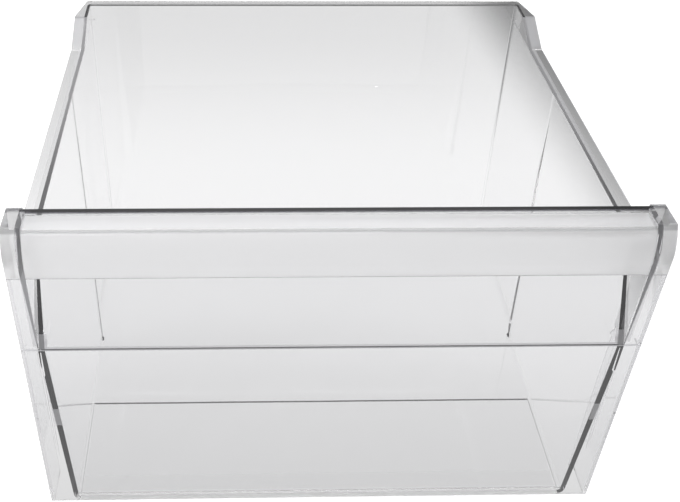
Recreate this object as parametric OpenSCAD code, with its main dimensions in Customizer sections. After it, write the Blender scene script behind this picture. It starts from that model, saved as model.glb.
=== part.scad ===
// Freezer drawer in clear plastic, moulded in one piece.
// Lengths are in millimetres: X across the front, Y from front to back, Z up.
// The origin is on the underside of the floor, in the middle of the drawer.

/* [Overall] */
// Width across the front
front_w = 458; // [380:1:560]
// Depth from the nose of the grip to the back of the rim
drawer_d = 435; // [400:1:460]
// Height of the front
front_h = 295.5; // [291:0.5:305]
// Thickness of the walls
wall = 3; // [2.2:0.1:3.2]

/* [Front wall] */
// Angle at which the front leans forward
front_lean = 5.3; // [3:0.1:7]
// Height of the fold below the finger recess
fold_z = 186; // [170:1:200]
// Height at which the recess reaches its full depth
recess_z = 234; // [226:1:244]
// How far the wall of the recess stands behind the fold
recess_back = 24.5; // [18:0.5:28]
// Height of the lower edge of the grip
grip_z = 257.5; // [250:0.5:262]
// Height at which the top of the grip starts to round over
nose_z = 266; // [262:1:268]
// Radius of the rounded top of the grip
nose_r = 45; // [42:1:50]
// Radius inside the corner between the grip and the ledge
grip_round = 7; // [4:0.5:9]
// Depth of the ledge below the top of the front
ledge_drop = 2.5; // [1.5:0.1:4]
// Thickness of the bead along the back of the ledge
bead_t = 4; // [2.8:0.1:5]
// Height of the bead, measured down from the top of the front
bead_h = 9; // [7:0.5:12]

/* [Ends of the front] */
// Width of each end of the front, beside the finger recess
end_w = 13.7; // [13:0.1:18]
// Thickness of the end of the recess where it is thinnest
cheek_t = 1.2; // [1:0.1:1.6]
// Depth of the slim rib that continues the recess end downwards
rib_d = 7; // [4:0.5:12]
// Height at which that rib ends
rib_z = 28; // [10:1:60]
// Distance at the top from the front line of the floor to the back of the ends
end_back = 7.6; // [6.5:0.1:10]
// Thickness of the outer wall at the back of the end pocket
pocket_rim = 1; // [0.8:0.1:3]
// Radius of the notch at the front of the end pocket
notch_r = 2; // [1.6:0.1:2.4]
// Depth of that notch below the top of the front
notch_d = 1.1; // [0.6:0.1:1.6]
// Radius of the upright outer edges of the front
edge_r = 1; // [0.6:0.1:2]

/* [Sides] */
// Distance from the side of the front to the inside of the drawer at the floor
side_in = 22.7; // [21:0.1:28]
// Outward slope of the sides in the front part, per millimetre of height
front_draft = 0.0385; // [0.035:0.0005:0.04]
// Distance by which the sides step outwards
side_step = 7.9; // [5.7:0.1:8.7]
// Outward slope of the sides in the rear part, per millimetre of height
rear_draft = 0.0102; // [0.006:0.0002:0.012]
// Distance from the front to where the sides start to step outwards
step_y = 205; // [160:1:230]
// Length over which the sides step outwards
step_l = 27; // [20:1:40]
// Height of the side rims
side_z = 260; // [256:1:264]
// Height of the rear rim
rear_z = 276.6; // [270:0.2:284]
// Distance from the front to where the side rims start to rise
rise_y = 331.6; // [300:0.2:345]
// Length over which the side rims rise
rise_l = 39.4; // [30:0.2:50]
// Height at which the webs at the front of the side rims begin
web_z = 280.4; // [270:0.2:286]
// Distance from the front to where those webs end
web_y = 49; // [35:1:60]
// Thickness of the rim flange
flange_t = 2.5; // [2:0.1:3]
// Width of the chamfer on the rear corners of the flange
chamfer_x = 7.8; // [4:0.2:8.4]
// Length of the chamfer on the rear corners of the flange
chamfer_y = 37.5; // [25:0.5:45]

/* [Back and floor] */
// Width of the flange along the back rim
back_flange = 8.2; // [6:0.2:10]
// Slope of the back wall, per millimetre of height
back_draft = 0.0217; // [0.01:0.0005:0.03]
// Thickness of the rear part of the floor
floor_t = 3.2; // [2.8:0.1:4]
// Depth of the shallow step down to the front part of the floor
floor_step = 1; // [0.6:0.1:1.2]
// Distance from the front to the step in the floor
floor_step_y = 113; // [80:1:150]
// Radius inside between the floor and the front wall
front_fillet = 9; // [6:0.5:12]
// Radius inside between the floor and the other walls
floor_fillet = 4; // [3:0.5:6]
// Radius inside the upright rear corners
corner_r = 1.5; // [1:0.5:5]
// Radius of the rear corners of the flange
flange_r = 2; // [1:0.5:3]

/* [Hidden] */
$fa = 3;
$fs = 0.5;
lap = 0.4;
eps = 0.01;
// Cutting shapes run past what they cut by a little, or right out of the drawer.
over = 1;
past = 20;
lean_t = tan(front_lean);
lean_wall = wall / cos(front_lean);

// Middle of the rounded nose, as [y, z], and the ends of the drawer in Y.
nose_y = nose_r * cos(front_lean) - nose_z * lean_t;
nose_mid_z = nose_z + nose_r * sin(front_lean);
front_y = nose_y - nose_r;
back_y = front_y + drawer_d;
middle_y = (front_y + back_y) / 2;

// The sheet of the recess, from the fold to the ledge.
fold_y = -fold_z * lean_t;
knee_y = fold_y + recess_back;
slope_t = recess_back / (recess_z - fold_z);
slope_wall = wall * sqrt(1 + slope_t * slope_t);
knee_shift = (lean_wall - slope_wall) / (slope_t + lean_t);
ledge_z = front_h - ledge_drop;

// Half widths.
half_w = front_w / 2;
half_recess = half_w - end_w;
half_front = half_w - side_in;
half_rear = half_front + side_step;
front_wall_x = wall * sqrt(1 + front_draft * front_draft);
rear_wall_x = wall * sqrt(1 + rear_draft * rear_draft);

// Back wall: where its inner face meets the plane of the floor's underside.
back_in_y = back_y - back_flange - back_draft * rear_z;
back_wall_y = wall * sqrt(1 + back_draft * back_draft);

// Position of the leaning front face and of the recess wall at a height.
function face_y(z) = -z * lean_t;
function recess_y(z) = knee_y - (z - recess_z) * lean_t;

// Distance from the middle to the outer side of a side wall at a height.
function side_out(z) = half_front + front_wall_x + z * front_draft;

// Back of the front ends at a height: parallel to the leaning face.
function end_y(z) = end_back + (front_h - z) * lean_t;

// Depth of a point on the nose circle at a height, for any radius.
function nose_at(r, z) = nose_y - sqrt(r * r - pow(z - nose_mid_z, 2));

drawer();

// The whole moulding.
module drawer() {
    color([0.86, 0.87, 0.88, 0.45])
    translate([0, -middle_y, 0])
    difference() {
        union() {
            difference() {
                union() {
                    tub_body();
                    rim_flange();
                }
                above_rims();
                both_sides() upright_above_rim();
            }
            front_block();
        }
        cavity();
        finger_space();
        ledge_space();
        both_sides() edge_cut();
    }
}

// A child and its mirror image on the other side of the drawer.
module both_sides() {
    children();
    mirror([1, 0, 0]) children();
}

// A profile drawn as [y, z], stretched across the drawer between two X positions.
module across(x0, x1) {
    translate([x0, 0, 0])
    rotate([90, 0, 90])
    linear_extrude(height = x1 - x0)
    children();
}

// A profile drawn as [x, z], stretched from one Y position to another.
module lengthwise(y0, y1) {
    translate([0, y1, 0])
    rotate([90, 0, 0])
    linear_extrude(height = y1 - y0)
    children();
}

// Half of a cross-section that widens upwards, with a rounded lower edge.
// The round touches both the floor and the sloping side.
module half_section(half_x, draft, z0, z1, r) {
    tilt = atan(draft);
    reach = r * tan((90 - tilt) / 2);
    foot_x = half_x + z0 * draft;
    polygon([
        [0, z0],
        [foot_x - reach, z0],
        [foot_x + (reach + lap) * sin(tilt), z0 + (reach + lap) * cos(tilt)],
        [half_x + z1 * draft, z1],
        [0, z1]
    ]);
    translate([foot_x - reach, z0 + r]) circle(r);
}

// Both halves of that cross-section.
module section(half_x, draft, z0, z1, r) {
    half_section(half_x, draft, z0, z1, r);
    mirror([1, 0]) half_section(half_x, draft, z0, z1, r);
}

// Area in plan behind the outward step of the sides, for one wall face.
module rear_area(half_x, shift) {
    slope = side_step / step_l;
    far_y = back_y + past;
    polygon([
        [-half_x - (far_y - step_y + shift) * slope, far_y],
        [-half_x, step_y - shift],
        [half_x, step_y - shift],
        [half_x + (far_y - step_y + shift) * slope, far_y]
    ]);
}

// Tapered block with stepped sides, used for the outside and for the inside.
module stepped_block(grow_front, grow_rear, shift, z0, z1, r) {
    lengthwise(front_y, back_y)
    section(half_front + grow_front, front_draft, z0, z1, r);
    intersection() {
        lengthwise(step_y - shift - over, back_y)
        section(half_rear + grow_rear, rear_draft, z0, z1, r);
        linear_extrude(height = z1)
        rear_area(half_front + grow_front, shift);
    }
}

// Rear corner that rounds an upright edge between two sloping walls.
// It is cut away from the block along the line where the walls meet.
module corner_cut(edge_x, edge_y, r) {
    both_sides()
    translate([edge_x, edge_y, 0])
    rotate([-atan(back_draft), atan(rear_draft), 0])
    difference() {
        translate([-r, -r, -past]) cube([2 * r, 2 * r, front_h + 2 * past]);
        translate([-r, -r, -past - over]) cylinder(r = r + eps, h = front_h + 2 * (past + over));
    }
}

// Outside of the walls and the floor.
module tub_body() {
    turn = atan(side_step / step_l);
    shift = wall * (1 - sin(turn)) / cos(turn);
    difference() {
        intersection() {
            stepped_block(front_wall_x, rear_wall_x, shift, 0, front_h, floor_fillet + wall);
            across(-half_w, half_w) outer_side_view();
        }
        corner_cut(half_rear + rear_wall_x, back_in_y + back_wall_y, corner_r + wall);
    }
}

// Outline of the walls seen from the side. The front lies inside the front wall.
module outer_side_view() {
    r = floor_fillet + wall;
    tilt = atan(back_draft);
    reach = r * tan((90 - tilt) / 2);
    foot_y = back_in_y + back_wall_y;
    mid_r = nose_r - wall / 2;
    arc_h = front_h - nose_z;
    polygon([
        [lean_wall / 2, 0],
        [foot_y - reach, 0],
        [foot_y + (reach + lap) * sin(tilt), (reach + lap) * cos(tilt)],
        [foot_y + front_h * back_draft, front_h],
        [nose_at(mid_r, front_h), front_h],
        [nose_at(mid_r, nose_z + arc_h * 2 / 3), nose_z + arc_h * 2 / 3],
        [nose_at(mid_r, nose_z + arc_h / 3), nose_z + arc_h / 3],
        [face_y(nose_z) + lean_wall / 2, nose_z]
    ]);
    translate([foot_y - reach, r]) circle(r);
}

// Space that holds the food, open at the top.
module cavity() {
    difference() {
        intersection() {
            stepped_block(0, 0, 0, floor_t - floor_step, front_h + past, floor_fillet);
            across(-half_w, half_w) inner_side_view();
        }
        corner_cut(half_rear, back_in_y, corner_r);
    }
}

// Outline of that space seen from the side, with the step in the floor.
module inner_side_view() {
    tilt = atan(back_draft);
    reach = floor_fillet * tan((90 - tilt) / 2);
    foot_y = back_in_y + floor_t * back_draft;
    low_z = floor_t - floor_step;
    front_reach = front_fillet * tan((90 - front_lean) / 2);
    front_foot = face_y(low_z) + lean_wall;
    bead_z = front_h - bead_h;
    top_z = front_h + past / 2;
    polygon([
        [front_foot + front_reach, low_z],
        [floor_step_y, low_z],
        [floor_step_y + floor_step, floor_t],
        [foot_y - reach, floor_t],
        [foot_y + (reach + lap) * sin(tilt), floor_t + (reach + lap) * cos(tilt)],
        [back_in_y + top_z * back_draft, top_z],
        [recess_y(top_z) + bead_t, top_z],
        [recess_y(bead_z) + bead_t, bead_z],
        [recess_y(bead_z - bead_t + wall) + lean_wall, bead_z - bead_t + wall],
        [knee_y + lean_wall - knee_shift * lean_t, recess_z + knee_shift],
        [fold_y + lean_wall - knee_shift * lean_t, fold_z + knee_shift],
        [front_foot - (front_reach + lap) * sin(front_lean), low_z + (front_reach + lap) * cos(front_lean)]
    ]);
    translate([foot_y - reach, floor_t + floor_fillet]) circle(floor_fillet);
    translate([front_foot + front_reach, low_z + front_fillet]) circle(front_fillet);
}

// Everything above the side rims, cut away from the walls.
// A web slopes up from each side rim to the front wall.
module above_rims() {
    web_end = recess_y(web_z) + lean_wall;
    web_slope = (web_z - side_z) / (web_y - web_end);
    start_y = end_back - wall / 2;
    across(-half_w, half_w)
    polygon([
        [start_y, side_z + (web_y - start_y) * web_slope],
        [web_y, side_z],
        [rise_y, side_z],
        [rise_y + rise_l, rear_z],
        [back_y + over, rear_z],
        [back_y + over, front_h + past],
        [start_y, front_h + past]
    ]);
}

// Trims the outside of the webs and recess ends upright above the side rim.
module upright_above_rim() {
    translate([side_out(side_z), front_y - over, side_z])
    cube([wall, web_y - front_y + 2 * over, front_h]);
}

// Flange that runs outwards from the rim along the sides and the back.
module rim_flange() {
    start_y = end_y(side_z) - wall / 2;
    intersection() {
        across(-half_w, half_w)
        polygon([
            [start_y, side_z - flange_t],
            [rise_y, side_z - flange_t],
            [rise_y + rise_l, rear_z - flange_t],
            [back_y, rear_z - flange_t],
            [back_y, rear_z],
            [rise_y + rise_l, rear_z],
            [rise_y, side_z],
            [start_y, side_z]
        ]);
        linear_extrude(height = front_h)
        flange_outline();
    }
}

// Outline of the flange in plan, with chamfered and rounded rear corners.
module flange_outline() {
    bevel = atan(chamfer_x / (chamfer_y - flange_r));
    reach = flange_r * tan((90 - bevel) / 2);
    corner_x = half_w - chamfer_x;
    polygon([
        [-half_w, 0],
        [half_w, 0],
        [half_w, back_y - chamfer_y],
        [corner_x + reach * sin(bevel), back_y - reach * cos(bevel)],
        [corner_x - reach, back_y],
        [reach - corner_x, back_y],
        [-corner_x - reach * sin(bevel), back_y - reach * cos(bevel)],
        [-half_w, back_y - chamfer_y]
    ]);
    translate([corner_x - reach, back_y - flange_r]) circle(flange_r);
    translate([reach - corner_x, back_y - flange_r]) circle(flange_r);
}

// Solid from which the front wall and its two ends are cut.
module front_block() {
    difference() {
        across(-half_w, half_w) front_outline(0);
        both_sides() open_back();
        both_sides() end_pocket();
    }
    both_sides() low_rib();
}

// Outline of the front seen from the side, drawn inwards by the given distance.
// The face leans forward, and its top rounds over towards the back.
module front_outline(inset) {
    lean_in = inset / cos(front_lean);
    r = nose_r - inset;
    low_z = nose_z - nose_r / 2;
    polygon([
        [lean_in, 0],
        [face_y(nose_z - lap) + lean_in, nose_z - lap],
        [nose_at(r, front_h) + over, front_h],
        [end_y(front_h) - lean_in, front_h],
        [end_y(0) - lean_in, 0]
    ]);
    intersection() {
        translate([nose_y, nose_mid_z]) circle(r);
        translate([front_y - over, low_z]) square([over - front_y, front_h - low_z]);
    }
}

// Everything in front of the wall of the finger recess, between two heights.
module before_recess(z0, z1) {
    polygon([
        [front_y - over, z0],
        [recess_y(z0), z0],
        [recess_y(z1), z1],
        [front_y - over, z1]
    ]);
}

// Space for the fingers: behind the grip, under the ledge and open below the grip.
module finger_space() {
    across(-half_recess, half_recess) {
        polygon([
            [front_y - over, fold_z],
            [fold_y, fold_z],
            [knee_y, recess_z],
            [front_y - over, recess_z]
        ]);
        before_recess(recess_z, grip_z);
        difference() {
            intersection() {
                front_outline(wall);
                before_recess(recess_z, ledge_z - wall);
            }
            grip_corner();
        }
    }
}

// Filling of the corner between the grip and the ledge, up to a rounded inside.
module grip_corner() {
    round_z = ledge_z - wall - grip_round;
    reach = nose_r - wall - grip_round;
    rise = round_z - nose_mid_z;
    run = sqrt(reach * reach - rise * rise);
    difference() {
        polygon([
            [nose_y - run, round_z],
            [nose_y - run * nose_r / reach, nose_mid_z + rise * nose_r / reach],
            [nose_y - run * nose_r / reach, ledge_z],
            [nose_y - run, ledge_z]
        ]);
        translate([nose_y - run, round_z]) circle(grip_round + eps);
    }
}

// Space above the ledge, in front of the bead.
module ledge_space() {
    across(-half_recess, half_recess)
    before_recess(ledge_z, front_h + over);
}

// Rounds the upright outer edge of the front, along the leaning face.
module edge_cut() {
    translate([half_w, 0, 0])
    rotate([front_lean, 0, 0])
    difference() {
        translate([-edge_r, -over, -past]) cube([edge_r + over, edge_r + over, front_h + 2 * past]);
        translate([-edge_r, edge_r, -past - over])
        cylinder(r = edge_r + eps, h = front_h + 2 * (past + over));
    }
}

// Hollow of the front end below the grip, open towards the back.
// It leaves the skin, the outer wall and the end of the finger recess.
module open_back() {
    foot_z = floor_fillet + wall;
    foot_x = half_front - foot_z;
    top_z = fold_z - 2 * wall;
    thin_x = half_recess + cheek_t;
    thin_z = (thin_x + wall / 2 - half_front - front_wall_x) / front_draft;
    intersection() {
        lengthwise(front_y, end_y(0) + over)
        polygon([
            [foot_x, -over],
            [half_w - wall, -over],
            [half_w - wall, grip_z],
            [side_out(grip_z) - wall / 2, grip_z],
            [thin_x, thin_z],
            [thin_x, top_z],
            [side_out(top_z) - wall / 2, top_z],
            [side_out(foot_z) - wall / 2, foot_z],
            [foot_x, foot_z]
        ]);
        across(foot_x, half_w)
        polygon([
            [face_y(-over) + lean_wall, -over],
            [face_y(grip_z) + lean_wall, grip_z],
            [end_y(0) + over, grip_z],
            [end_y(0) + over, -over]
        ]);
    }
}

// Slim rib that runs down the back of the front wall below the recess end.
module low_rib() {
    top_z = fold_z - wall;
    across(half_recess, half_recess + cheek_t)
    polygon([
        [face_y(rib_z) + wall / 2, rib_z],
        [face_y(top_z) + wall / 2, top_z],
        [face_y(top_z) + lean_wall + rib_d, top_z]
    ]);
}

// Pocket in the top of the front end, wide at the back, with a notch at its front.
module end_pocket() {
    notch_x = side_out(side_z);
    notch_y = nose_at(nose_r, front_h - notch_d) + notch_r;
    notch_z = front_h - notch_d - wall / 2;
    low_z = grip_z - over;
    top_z = front_h + over;
    // The skin in front of the pocket is a little thinner than the walls.
    skin_t = 0.9 * wall;
    intersection() {
        union() {
            linear_extrude(height = notch_z) pocket_plan(notch_x + 2 * notch_r, notch_y, front_y);
            linear_extrude(height = top_z) {
                pocket_plan(notch_x + 2 * notch_r, notch_y, notch_y);
                translate([notch_x, notch_y - notch_r]) square([notch_r, 2 * notch_r]);
                translate([notch_x + notch_r, notch_y]) circle(notch_r);
            }
        }
        lengthwise(front_y, end_y(0))
        polygon([
            [side_out(low_z) - wall / 2, low_z],
            [half_w, low_z],
            [half_w, top_z],
            [side_out(low_z) - wall / 2, top_z]
        ]);
        across(half_recess, half_w)
        union() {
            front_outline(skin_t);
            translate([front_y, notch_z]) square([end_y(0) + over - front_y, top_z - notch_z]);
        }
    }
}

// Plan of the pocket from a front position to its back. Its outer side slants
// from the rim at the back to the given point beside the notch, and on forwards.
module pocket_plan(slant_x, slant_y, y0) {
    y1 = end_back - wall;
    slope = (half_w - pocket_rim - slant_x) / (y1 - slant_y);
    polygon([
        [half_recess, y1],
        [half_recess, y0],
        [slant_x - (slant_y - y0) * slope, y0],
        [half_w - pocket_rim, y1]
    ]);
}
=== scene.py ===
"""A clear freezer drawer on a pale table, seen from above its front wall."""

import math

import bmesh
import bpy
from mathutils import Matrix, Vector


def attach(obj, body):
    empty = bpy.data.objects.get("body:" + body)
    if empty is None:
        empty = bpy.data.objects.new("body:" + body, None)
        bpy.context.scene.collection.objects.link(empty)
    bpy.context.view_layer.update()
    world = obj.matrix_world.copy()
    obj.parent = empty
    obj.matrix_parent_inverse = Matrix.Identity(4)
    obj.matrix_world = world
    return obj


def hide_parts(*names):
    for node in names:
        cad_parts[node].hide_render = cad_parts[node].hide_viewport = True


# Sizes and places are in metres, in the drawer's own frame.

# The drawer's front: a leaning face with a rounded top, its nose.
FRONT_FOOT_Y = -0.1926
FRONT_LEAN = math.radians(5.3)
GRIP_LOW = 0.2575
NOSE_Y = -0.1725
NOSE_Z = 0.2702
NOSE_RADIUS = 0.045
FROST_DEPTH = 0.0008
FROST_SCATTER = 0.45
UNDERSIDE_Z = 0.0003
FOOT_BACK = -0.165
FOOT_SCUFF = 0.58
RIM_SCUFF = 0.48
FOLD_SCUFF = 0.62
JOIN_SCUFF = 0.45
CHEEK_SCUFF = 0.30
END_SCUFF = 0.40
SLOPE_SCUFF = 0.50
HAZE = 0.03
LEDGE_LOW = 0.2925
LEDGE_HIGH = 0.2935
LIP_BACK = -0.2070
LIP_FRONT = -0.2105
LIP_SHADE = 0.42
LIP_SHADE_FRONT = -0.2098
LIP_SHADE_BACK = -0.2072
LEDGE_SCATTER = 0.27
BEAD_FRONT = -0.1916
BEAD_TOP = 0.2950
BORDER_SHADE = 0.45
CHEEK_INSIDE = 0.2153
CHEEK_OUTSIDE = 0.2192
RECESS_BACK = -0.187

PLASTIC_DENSITY = 5.0

# Light levels, where 1 is white.
# The table seen in the plastic glows at these levels: painted light, with painted shade where it falls off.
TABLE_BEHIND = 0.98
TABLE_FAR_BEHIND = 0.80
TABLE_IN_FRONT = 0.70
TABLE_RIGHT = 0.30
TABLE_GLOW = 0.45
BACKDROP_LEVEL = 0.75
BAND_LOW = math.radians(30.5)
BAND_HIGH = math.radians(39)
BAND_SOFT = math.radians(5)
STUDIO_LEVEL = 0.15

# Camera, as it stood for the photograph.
CAMERA_PLACE = (-0.0718, -0.7680, 0.6899)
CAMERA_PITCH = 35.43
CAMERA_YAW = 1.94
CAMERA_ROLL = 0.80
FOCAL_PIXELS = 1018.2
IMAGE_WIDTH = 680
IMAGE_HEIGHT = 502
PRINCIPAL_X = 263.3
PRINCIPAL_Y = 230.5
SENSOR_WIDTH = 36.0

# Joining of the drawer's mesh: points this close are one, and a fold sharper
# than this angle is an edge.
MERGE_DISTANCE = 0.00006
STEP_FRONT = 0.005
STEP_BACK = 0.060
STEP_INSIDE = 0.200
STEP_TALL = 0.05
SHARP_ANGLE = math.radians(13)


def add_camera():
    """Sets up the camera at the photograph's place, turn and framing."""
    data = bpy.data.cameras.new("camera")
    data.sensor_width = SENSOR_WIDTH
    data.lens = FOCAL_PIXELS / IMAGE_WIDTH * SENSOR_WIDTH
    data.shift_x = (IMAGE_WIDTH / 2 - PRINCIPAL_X) / IMAGE_WIDTH
    data.shift_y = (PRINCIPAL_Y - IMAGE_HEIGHT / 2) / IMAGE_WIDTH
    data.clip_start = 0.01
    data.clip_end = 50
    camera = bpy.data.objects.new("camera", data)
    pitch, yaw, roll = (
        math.radians(v) for v in (CAMERA_PITCH, CAMERA_YAW, CAMERA_ROLL)
    )
    ahead = Vector(
        (
            math.sin(yaw) * math.cos(pitch),
            math.cos(yaw) * math.cos(pitch),
            -math.sin(pitch),
        )
    )
    level = Vector((math.cos(yaw), -math.sin(yaw), 0))
    upright = level.cross(ahead)
    right = math.cos(roll) * level + math.sin(roll) * upright
    up = math.cos(roll) * upright - math.sin(roll) * level
    turn = Matrix((right, up, -ahead)).transposed()
    camera.matrix_world = Matrix.Translation(CAMERA_PLACE) @ turn.to_4x4()
    bpy.context.scene.collection.objects.link(camera)
    bpy.context.scene.camera = camera


class Nodes:
    """Places nodes in one tree and links them by name."""

    def __init__(self, tree):
        self.tree = tree
        tree.nodes.clear()

    def add(self, kind, settings=None, **inputs):
        """A node of this kind, with its settings and its plain or linked inputs."""
        node = self.tree.nodes.new(kind)
        for name, value in (settings or {}).items():
            setattr(node, name, value)
        for name, value in inputs.items():
            self.feed(node.inputs[name.replace("_", " ")], value)
        return node

    def feed(self, socket, value):
        if isinstance(value, bpy.types.NodeSocket):
            self.tree.links.new(value, socket)
        else:
            socket.default_value = value

    def math(self, operation, first, second=0.0, third=0.0):
        node = self.tree.nodes.new("ShaderNodeMath")
        node.operation = operation
        for socket, value in zip(node.inputs, (first, second, third)):
            self.feed(socket, value)
        return node.outputs[0]

    def ramp(self, value, low, high, low_out=0.0, high_out=1.0):
        """A smooth step of value from low to high."""
        node = self.tree.nodes.new("ShaderNodeMapRange")
        node.interpolation_type = "SMOOTHSTEP"
        for name, number in (
            ("Value", value),
            ("From Min", low),
            ("From Max", high),
            ("To Min", low_out),
            ("To Max", high_out),
        ):
            self.feed(node.inputs[name], number)
        return node.outputs["Result"]

    def within(self, value, low, high):
        """1 where the value lies between low and high, else 0."""
        away = self.math("ABSOLUTE", self.math("SUBTRACT", value, (low + high) / 2))
        return self.math("LESS_THAN", away, (high - low) / 2)

    def every(self, *masks):
        """The product of these masks."""
        product = masks[0]
        for mask in masks[1:]:
            product = self.math("MULTIPLY", product, mask)
        return product

    def mix_colour(self, factor, first, second):
        node = self.tree.nodes.new("ShaderNodeMix")
        node.data_type = "RGBA"
        self.feed(node.inputs["Factor"], factor)
        self.feed(node.inputs[6], first)
        self.feed(node.inputs[7], second)
        return node.outputs[2]


def new_material(name):
    material = bpy.data.materials.new(name)
    material.use_nodes = True
    return material, Nodes(material.node_tree)


def clear_plastic():
    """Clear gloss polystyrene with a finely textured band along the grip."""
    material, n = new_material("clear_plastic")
    place = n.add("ShaderNodeTexCoord").outputs["Object"]
    xyz = n.add("ShaderNodeSeparateXYZ", Vector=place).outputs

    # The textured band lies on the outer skin of the grip and the front ends:
    # on the leaning face, and round the nose up to the ledge.
    face_y = n.math("MULTIPLY_ADD", xyz["Z"], -math.tan(FRONT_LEAN), FRONT_FOOT_Y)
    on_face = n.math("LESS_THAN", n.math("SUBTRACT", xyz["Y"], face_y), FROST_DEPTH)
    nose_out = n.math(
        "SQRT",
        n.math(
            "ADD",
            n.math("POWER", n.math("ABSOLUTE", n.math("SUBTRACT", xyz["Y"], NOSE_Y)), 2.0),
            n.math("POWER", n.math("ABSOLUTE", n.math("SUBTRACT", xyz["Z"], NOSE_Z)), 2.0),
        ),
    )
    on_nose = n.math(
        "MULTIPLY",
        n.math("GREATER_THAN", nose_out, NOSE_RADIUS - FROST_DEPTH),
        n.math(
            "MULTIPLY",
            n.math("GREATER_THAN", xyz["Z"], NOSE_Z - 0.006),
            n.math("LESS_THAN", xyz["Y"], NOSE_Y - 0.032),
        ),
    )
    above = n.math("GREATER_THAN", xyz["Z"], GRIP_LOW)
    side = n.math("ABSOLUTE", xyz["X"])
    off_cheek = n.math("SUBTRACT", 1.0, n.within(side, CHEEK_INSIDE, CHEEK_OUTSIDE))
    on_lip = n.every(
        n.ramp(xyz["Y"], LIP_FRONT, LIP_BACK, 1.0, 0.0),
        n.math("GREATER_THAN", xyz["Z"], LEDGE_LOW),
    )
    on_ledge = n.every(
        n.within(xyz["Z"], LEDGE_LOW, LEDGE_HIGH),
        n.within(xyz["Y"], LIP_BACK - 0.0015, BEAD_FRONT),
        n.math("LESS_THAN", side, CHEEK_INSIDE),
    )
    on_grip = n.every(n.math("MAXIMUM", on_face, on_nose), above, off_cheek)
    outside = n.math("MAXIMUM", on_grip, n.every(on_lip, off_cheek))
    frost = n.math("MAXIMUM", outside, on_ledge)
    scattering = n.math("MULTIPLY_ADD", on_ledge, LEDGE_SCATTER, n.math("MULTIPLY", outside, FROST_SCATTER))

    # Painted soft shade, mixed into the colour of the plastic and of its scatter:
    # the round of the bead, the bend of the lip, and the lower border of the texture.
    on_bead = n.every(
        n.ramp(xyz["Z"], LEDGE_LOW, BEAD_TOP),
        n.math("GREATER_THAN", xyz["Y"], BEAD_FRONT),
        n.math("LESS_THAN", xyz["Y"], RECESS_BACK),
    )
    at_lip = n.every(
        n.ramp(xyz["Z"], LEDGE_LOW - 0.0012, LEDGE_LOW + 0.0004),
        n.ramp(xyz["Y"], LIP_SHADE_FRONT, LIP_SHADE_BACK, LIP_SHADE, 0.0),
    )
    at_border = n.every(
        on_face,
        n.within(xyz["Z"], GRIP_LOW - 0.0006, GRIP_LOW + 0.0004),
        BORDER_SHADE,
    )
    painted_shade = n.math("MAXIMUM", on_bead, n.math("MAXIMUM", at_lip, at_border))

    waves = n.add(
        "ShaderNodeTexNoise", Vector=place, Scale=14.0, Detail=1.0, Roughness=0.4
    )
    grain = n.add(
        "ShaderNodeTexNoise", Vector=place, Scale=2200.0, Detail=2.0, Roughness=0.5
    )
    flow = n.add(
        "ShaderNodeBump", Height=waves.outputs["Fac"], Strength=0.25, Distance=0.0006
    )
    texture = n.add(
        "ShaderNodeBump",
        Height=grain.outputs["Fac"],
        Strength=n.math("MULTIPLY", frost, 0.35),
        Distance=0.0002,
        Normal=flow.outputs["Normal"],
    )
    # Painted shade darkens the base colour at the bead, the lip and the border of the texture.
    plastic = n.add(
        "ShaderNodeBsdfPrincipled",
        Base_Color=n.mix_colour(
            painted_shade,
            n.mix_colour(frost, (0.985, 0.985, 0.99, 1), (0.95, 0.95, 0.955, 1)),
            (0.02, 0.02, 0.025, 1),
        ),
        Roughness=n.math("MULTIPLY_ADD", frost, 0.42, 0.0),
        Normal=texture.outputs["Normal"],
        IOR=1.59,
    )
    plastic.inputs["Transmission Weight"].default_value = 1.0

    # The texture also scatters some of the light that falls on it, its colour darkened
    # by the same painted shade, and the underside, scuffed by its shelf, lets a little in.
    scatter = n.add(
        "ShaderNodeBsdfDiffuse",
        Color=n.mix_colour(painted_shade, (0.93, 0.93, 0.93, 1), (0.02, 0.02, 0.025, 1)),
    )
    textured = n.add("ShaderNodeMixShader")
    n.feed(textured.inputs[0], scattering)
    n.feed(textured.inputs[1], plastic.outputs[0])
    n.feed(textured.inputs[2], scatter.outputs[0])
    let_in = n.add("ShaderNodeBsdfTranslucent", Color=(0.93, 0.93, 0.93, 1))
    scuffs = HAZE
    for share, marks in (
        (FOOT_SCUFF, (n.within(xyz["Z"], -0.01, UNDERSIDE_Z), n.within(xyz["Y"], -0.3, FOOT_BACK))),
        (RIM_SCUFF, (n.within(xyz["Z"], 0.2595, 0.2605), n.within(side, 0.2135, 0.2222), n.ramp(xyz["Y"], -0.18, 0.05, 0.3, 1.0))),
        (FOLD_SCUFF, (n.within(xyz["Z"], 0.1855, 0.1867), n.within(xyz["Y"], -0.23, -0.20))),
        (JOIN_SCUFF, (n.within(xyz["Z"], 0.1005, 0.1200), n.within(side, 0.2085, 0.2140), on_face)),
        (JOIN_SCUFF, (n.within(xyz["Z"], 0.1870, 0.1970), n.within(side, 0.2095, 0.2155), n.within(xyz["Y"], -0.2105, -0.2035))),
        (CHEEK_SCUFF, (n.within(side, CHEEK_INSIDE + 0.0001, CHEEK_OUTSIDE), n.within(xyz["Y"], -0.23, -0.19), n.math("GREATER_THAN", xyz["Z"], 0.19))),
        (SLOPE_SCUFF, (n.math("GREATER_THAN", side, 0.2135), n.within(xyz["Z"], 0.2600, 0.2764), n.within(xyz["Y"], 0.13, 0.1815))),
        (END_SCUFF, (n.within(side, 0.2195, 0.3), n.math("GREATER_THAN", xyz["Z"], 0.268), n.within(xyz["Y"], -0.2095, -0.15))),
    ):
        scuffs = n.math("MAXIMUM", scuffs, n.every(share, *marks))
    skin = n.add("ShaderNodeMixShader")
    n.feed(skin.inputs[0], scuffs)
    n.feed(skin.inputs[1], textured.outputs[0])
    n.feed(skin.inputs[2], let_in.outputs[0])

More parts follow.
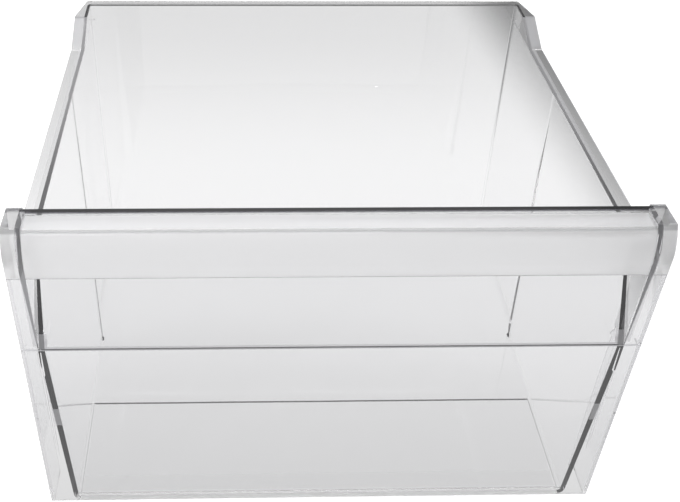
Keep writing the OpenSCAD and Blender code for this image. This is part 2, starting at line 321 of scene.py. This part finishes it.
    # Lamps and the light off the table pass through with little shadow.
    light_path = n.add("ShaderNodeLightPath").outputs
    passing = n.math(
        "MAXIMUM", light_path["Is Shadow Ray"], light_path["Is Diffuse Ray"]
    )
    through = n.add("ShaderNodeBsdfTransparent", Color=(0.95, 0.95, 0.96, 1))
    surface = n.add("ShaderNodeMixShader")
    n.feed(surface.inputs[0], passing)
    n.feed(surface.inputs[1], skin.outputs[0])
    n.feed(surface.inputs[2], through.outputs[0])
    inside = n.add(
        "ShaderNodeVolumeAbsorption", Color=(0.55, 0.53, 0.60, 1), Density=PLASTIC_DENSITY
    )
    n.add(
        "ShaderNodeOutputMaterial",
        Surface=surface.outputs[0],
        Volume=inside.outputs[0],
    )
    return material


def table_top():
    """Pale matt table that shows white and keeps the drawer's faint shadow; seen in the plastic it glows
    instead, with painted light and shade.
    """
    material, n = new_material("table_top")
    place = n.add("ShaderNodeTexCoord").outputs["Object"]
    xyz = n.add("ShaderNodeSeparateXYZ", Vector=place).outputs
    light_path = n.add("ShaderNodeLightPath").outputs
    matt = n.add("ShaderNodeBsdfDiffuse", Color=(0.86, 0.86, 0.86, 1))
    glow = n.add("ShaderNodeEmission", Color=(1, 1, 1, 1), Strength=TABLE_GLOW)
    bare = n.add("ShaderNodeAddShader")
    n.feed(bare.inputs[0], matt.outputs[0])
    n.feed(bare.inputs[1], glow.outputs[0])

    # Seen in the plastic, the table glows with painted light, and painted shade makes
    # it fall off to the front, to the right and far behind the drawer.
    rightward = n.math("MULTIPLY_ADD", xyz["Y"], 0.08, xyz["X"])
    near = n.ramp(xyz["Y"], -0.30, 0.12, TABLE_IN_FRONT, TABLE_BEHIND)
    far = n.ramp(xyz["Y"], 0.30, 0.85, 1.0, TABLE_FAR_BEHIND / TABLE_BEHIND)
    level = n.math(
        "MULTIPLY",
        n.ramp(rightward, 0.35, 0.48, 1.0, TABLE_RIGHT),
        n.math("MULTIPLY", near, far),
    )
    shown = n.add("ShaderNodeEmission", Color=(1, 1, 1, 1), Strength=level)
    in_plastic = n.math(
        "MAXIMUM", light_path["Is Glossy Ray"], light_path["Is Transmission Ray"]
    )
    surface = n.add("ShaderNodeMixShader")
    n.feed(surface.inputs[0], in_plastic)
    n.feed(surface.inputs[1], bare.outputs[0])
    n.feed(surface.inputs[2], shown.outputs[0])
    n.add("ShaderNodeOutputMaterial", Surface=surface.outputs[0])
    return material


def add_table():
    half = 6.0
    mesh = bpy.data.meshes.new("table_top")
    corners = [(-half, -half, 0), (half, -half, 0), (half, half, 0), (-half, half, 0)]
    mesh.from_pydata([(x, y, -0.0003) for x, y, _ in corners], [], [(0, 1, 2, 3)])
    mesh.materials.append(table_top())
    table = bpy.data.objects.new("table_top", mesh)
    bpy.context.scene.collection.objects.link(table)


def add_studio():
    """White surroundings low down, dark above the camera, and soft lamps."""
    world = bpy.data.worlds.new("studio")
    world.use_nodes = True
    bpy.context.scene.world = world
    n = Nodes(world.node_tree)
    toward = n.add("ShaderNodeTexCoord").outputs["Generated"]
    xyz = n.add("ShaderNodeSeparateXYZ", Vector=toward).outputs
    light_path = n.add("ShaderNodeLightPath").outputs
    behind = n.ramp(xyz["Y"], 0.0, 0.3)
    band = n.math(
        "MULTIPLY",
        n.ramp(xyz["Z"], math.sin(BAND_LOW), math.sin(BAND_LOW + BAND_SOFT)),
        n.ramp(xyz["Z"], math.sin(BAND_HIGH), math.sin(BAND_HIGH + BAND_SOFT), 1.0, 0.0),
    )
    dome = n.math(
        "MULTIPLY_ADD", n.math("MULTIPLY", behind, band), BACKDROP_LEVEL, STUDIO_LEVEL
    )
    strength = n.add("ShaderNodeMix")
    strength.data_type = "FLOAT"
    n.feed(strength.inputs[0], light_path["Is Camera Ray"])
    n.feed(strength.inputs[2], dome)
    n.feed(strength.inputs[3], 1.0)
    background = n.add("ShaderNodeBackground", Color=(1, 1, 1, 1))
    n.feed(background.inputs["Strength"], strength.outputs[0])
    n.add("ShaderNodeOutputWorld", Surface=background.outputs[0])

    for name, place, aim, size, power in (
        ("lamp_over", (-0.3, 0.1, 1.9), (0, 0.05, 0), (1.6, 1.6), 32.0),
        ("lamp_left", (-1.5, -0.3, 1.3), (0, 0, 0.1), (1.0, 1.0), 10.0),
        ("lamp_front", (-0.3, -1.5, 1.1), (0, -0.2, 0.25), (1.0, 1.0), 5.0),
    ):
        data = bpy.data.lights.new(name, "AREA")
        data.shape = "RECTANGLE"
        data.size, data.size_y = size
        data.energy = power
        lamp = bpy.data.objects.new(name, data)
        lamp.location = place
        lamp.rotation_euler = (
            (Vector(aim) - Vector(place)).to_track_quat("-Z", "Y").to_euler()
        )
        bpy.context.scene.collection.objects.link(lamp)
        lamp.visible_glossy = name == "lamp_left"
        lamp.visible_transmission = name != "lamp_front"


def on_side_step(edge):
    """Whether an edge is an upright one of the step in a side wall."""
    ends = [corner.co for corner in edge.verts]
    in_step = all(
        STEP_FRONT < co.y < STEP_BACK and abs(co.x) > STEP_INSIDE for co in ends
    )
    return in_step and abs(ends[0].z - ends[1].z) > STEP_TALL


def side_wall_shift(place):
    """How far a corner of a side wall moves inwards, to the wall's real place."""
    x, y, z = abs(place.x), place.y, place.z
    in_front_part = y < STEP_FRONT + 0.01
    if y < -0.2085 or z > 0.262 or not 0.200 < x < 0.219:
        return 0.0
    if abs(x - CHEEK_INSIDE) < 0.00005 and y < -0.184:
        return 0.0
    face = 0.20655 + 0.0385 * (z - 0.0065) if in_front_part else 0.2143 + 0.0102 * z
    depth = min(max((0.0125 - y) / 0.2, 0.0), 1.0)
    if z < 0.0068:
        from_bend = math.hypot(x - face + 0.0041, z - 0.0071)
        inner = 0.0030 < from_bend < 0.0056 and z > 0.003
        outer = from_bend > 0.0056
    else:
        inner = abs(x - face) < 0.0003
        outer = abs(x - face - 0.003) < 0.0003 and z < 0.186
    if inner:
        high = min(z / 0.22, 1.0) if z < 0.24 else -0.4
        return 0.0005 + depth * (0.0008 + 0.0007 * high)
    if outer:
        return depth * (0.0002 + 0.0006 * min(z / 0.186, 1.0))
    return 0.0


def round_long_edges(shape, y, z, reach, radius, steps):
    """Rounds the edges that run across the drawer near this place."""
    across = []
    for edge in shape.edges:
        ends = [corner.co for corner in edge.verts]
        near = all(math.hypot(co.y - y, co.z - z) < reach for co in ends)
        if near and abs(ends[0].x - ends[1].x) > 0.9 * edge.calc_length():
            across.append(edge)
    bmesh.ops.bevel(
        shape,
        geom=across,
        offset=radius,
        segments=steps,
        profile=0.5,
        affect="EDGES",
        clamp_overlap=True,
    )


def drawer_piece(cad_node):
    """The drawer with its CAD form, joined up, with slightly eased edges."""
    mesh = cad_node.data.copy()
    mesh.name = "clear_drawer"
    shape = bmesh.new()
    shape.from_mesh(mesh)
    bmesh.ops.remove_doubles(shape, verts=shape.verts, dist=MERGE_DISTANCE)
    bmesh.ops.dissolve_degenerate(shape, edges=shape.edges, dist=MERGE_DISTANCE)
    for corner in shape.verts:
        corner.co.x -= math.copysign(side_wall_shift(corner.co), corner.co.x)
    bmesh.ops.dissolve_limit(
        shape,
        angle_limit=math.radians(0.6),
        verts=shape.verts,
        edges=shape.edges,
        delimit={"NORMAL"},
    )
    round_long_edges(shape, -0.1911, 0.2955, 0.0004, 0.0022, 4)
    round_long_edges(shape, -0.2099, 0.1860, 0.0005, 0.0006, 3)
    for face in shape.faces:
        face.smooth = True
    for edge in shape.edges:
        edge.smooth = edge.calc_face_angle(math.pi) < SHARP_ANGLE or on_side_step(edge)
    shape.to_mesh(mesh)
    shape.free()
    mesh.materials.clear()
    mesh.materials.append(clear_plastic())
    drawer = bpy.data.objects.new("clear_drawer", mesh)
    bpy.context.scene.collection.objects.link(drawer)
    flat = drawer.modifiers.new("even_normals", "WEIGHTED_NORMAL")
    flat.keep_sharp = True
    flat.weight = 100
    return drawer


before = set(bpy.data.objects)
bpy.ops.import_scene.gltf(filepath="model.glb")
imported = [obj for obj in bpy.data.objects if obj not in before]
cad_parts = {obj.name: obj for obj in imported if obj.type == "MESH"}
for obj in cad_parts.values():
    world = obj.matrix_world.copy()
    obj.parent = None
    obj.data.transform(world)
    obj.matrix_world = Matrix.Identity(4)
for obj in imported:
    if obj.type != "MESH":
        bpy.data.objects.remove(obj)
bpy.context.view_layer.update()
add_camera()

drawer = drawer_piece(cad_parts["drawer"])
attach(drawer, "root")
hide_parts("drawer")

add_table()
add_studio()

view = bpy.context.scene.view_settings
view.view_transform = "Standard"
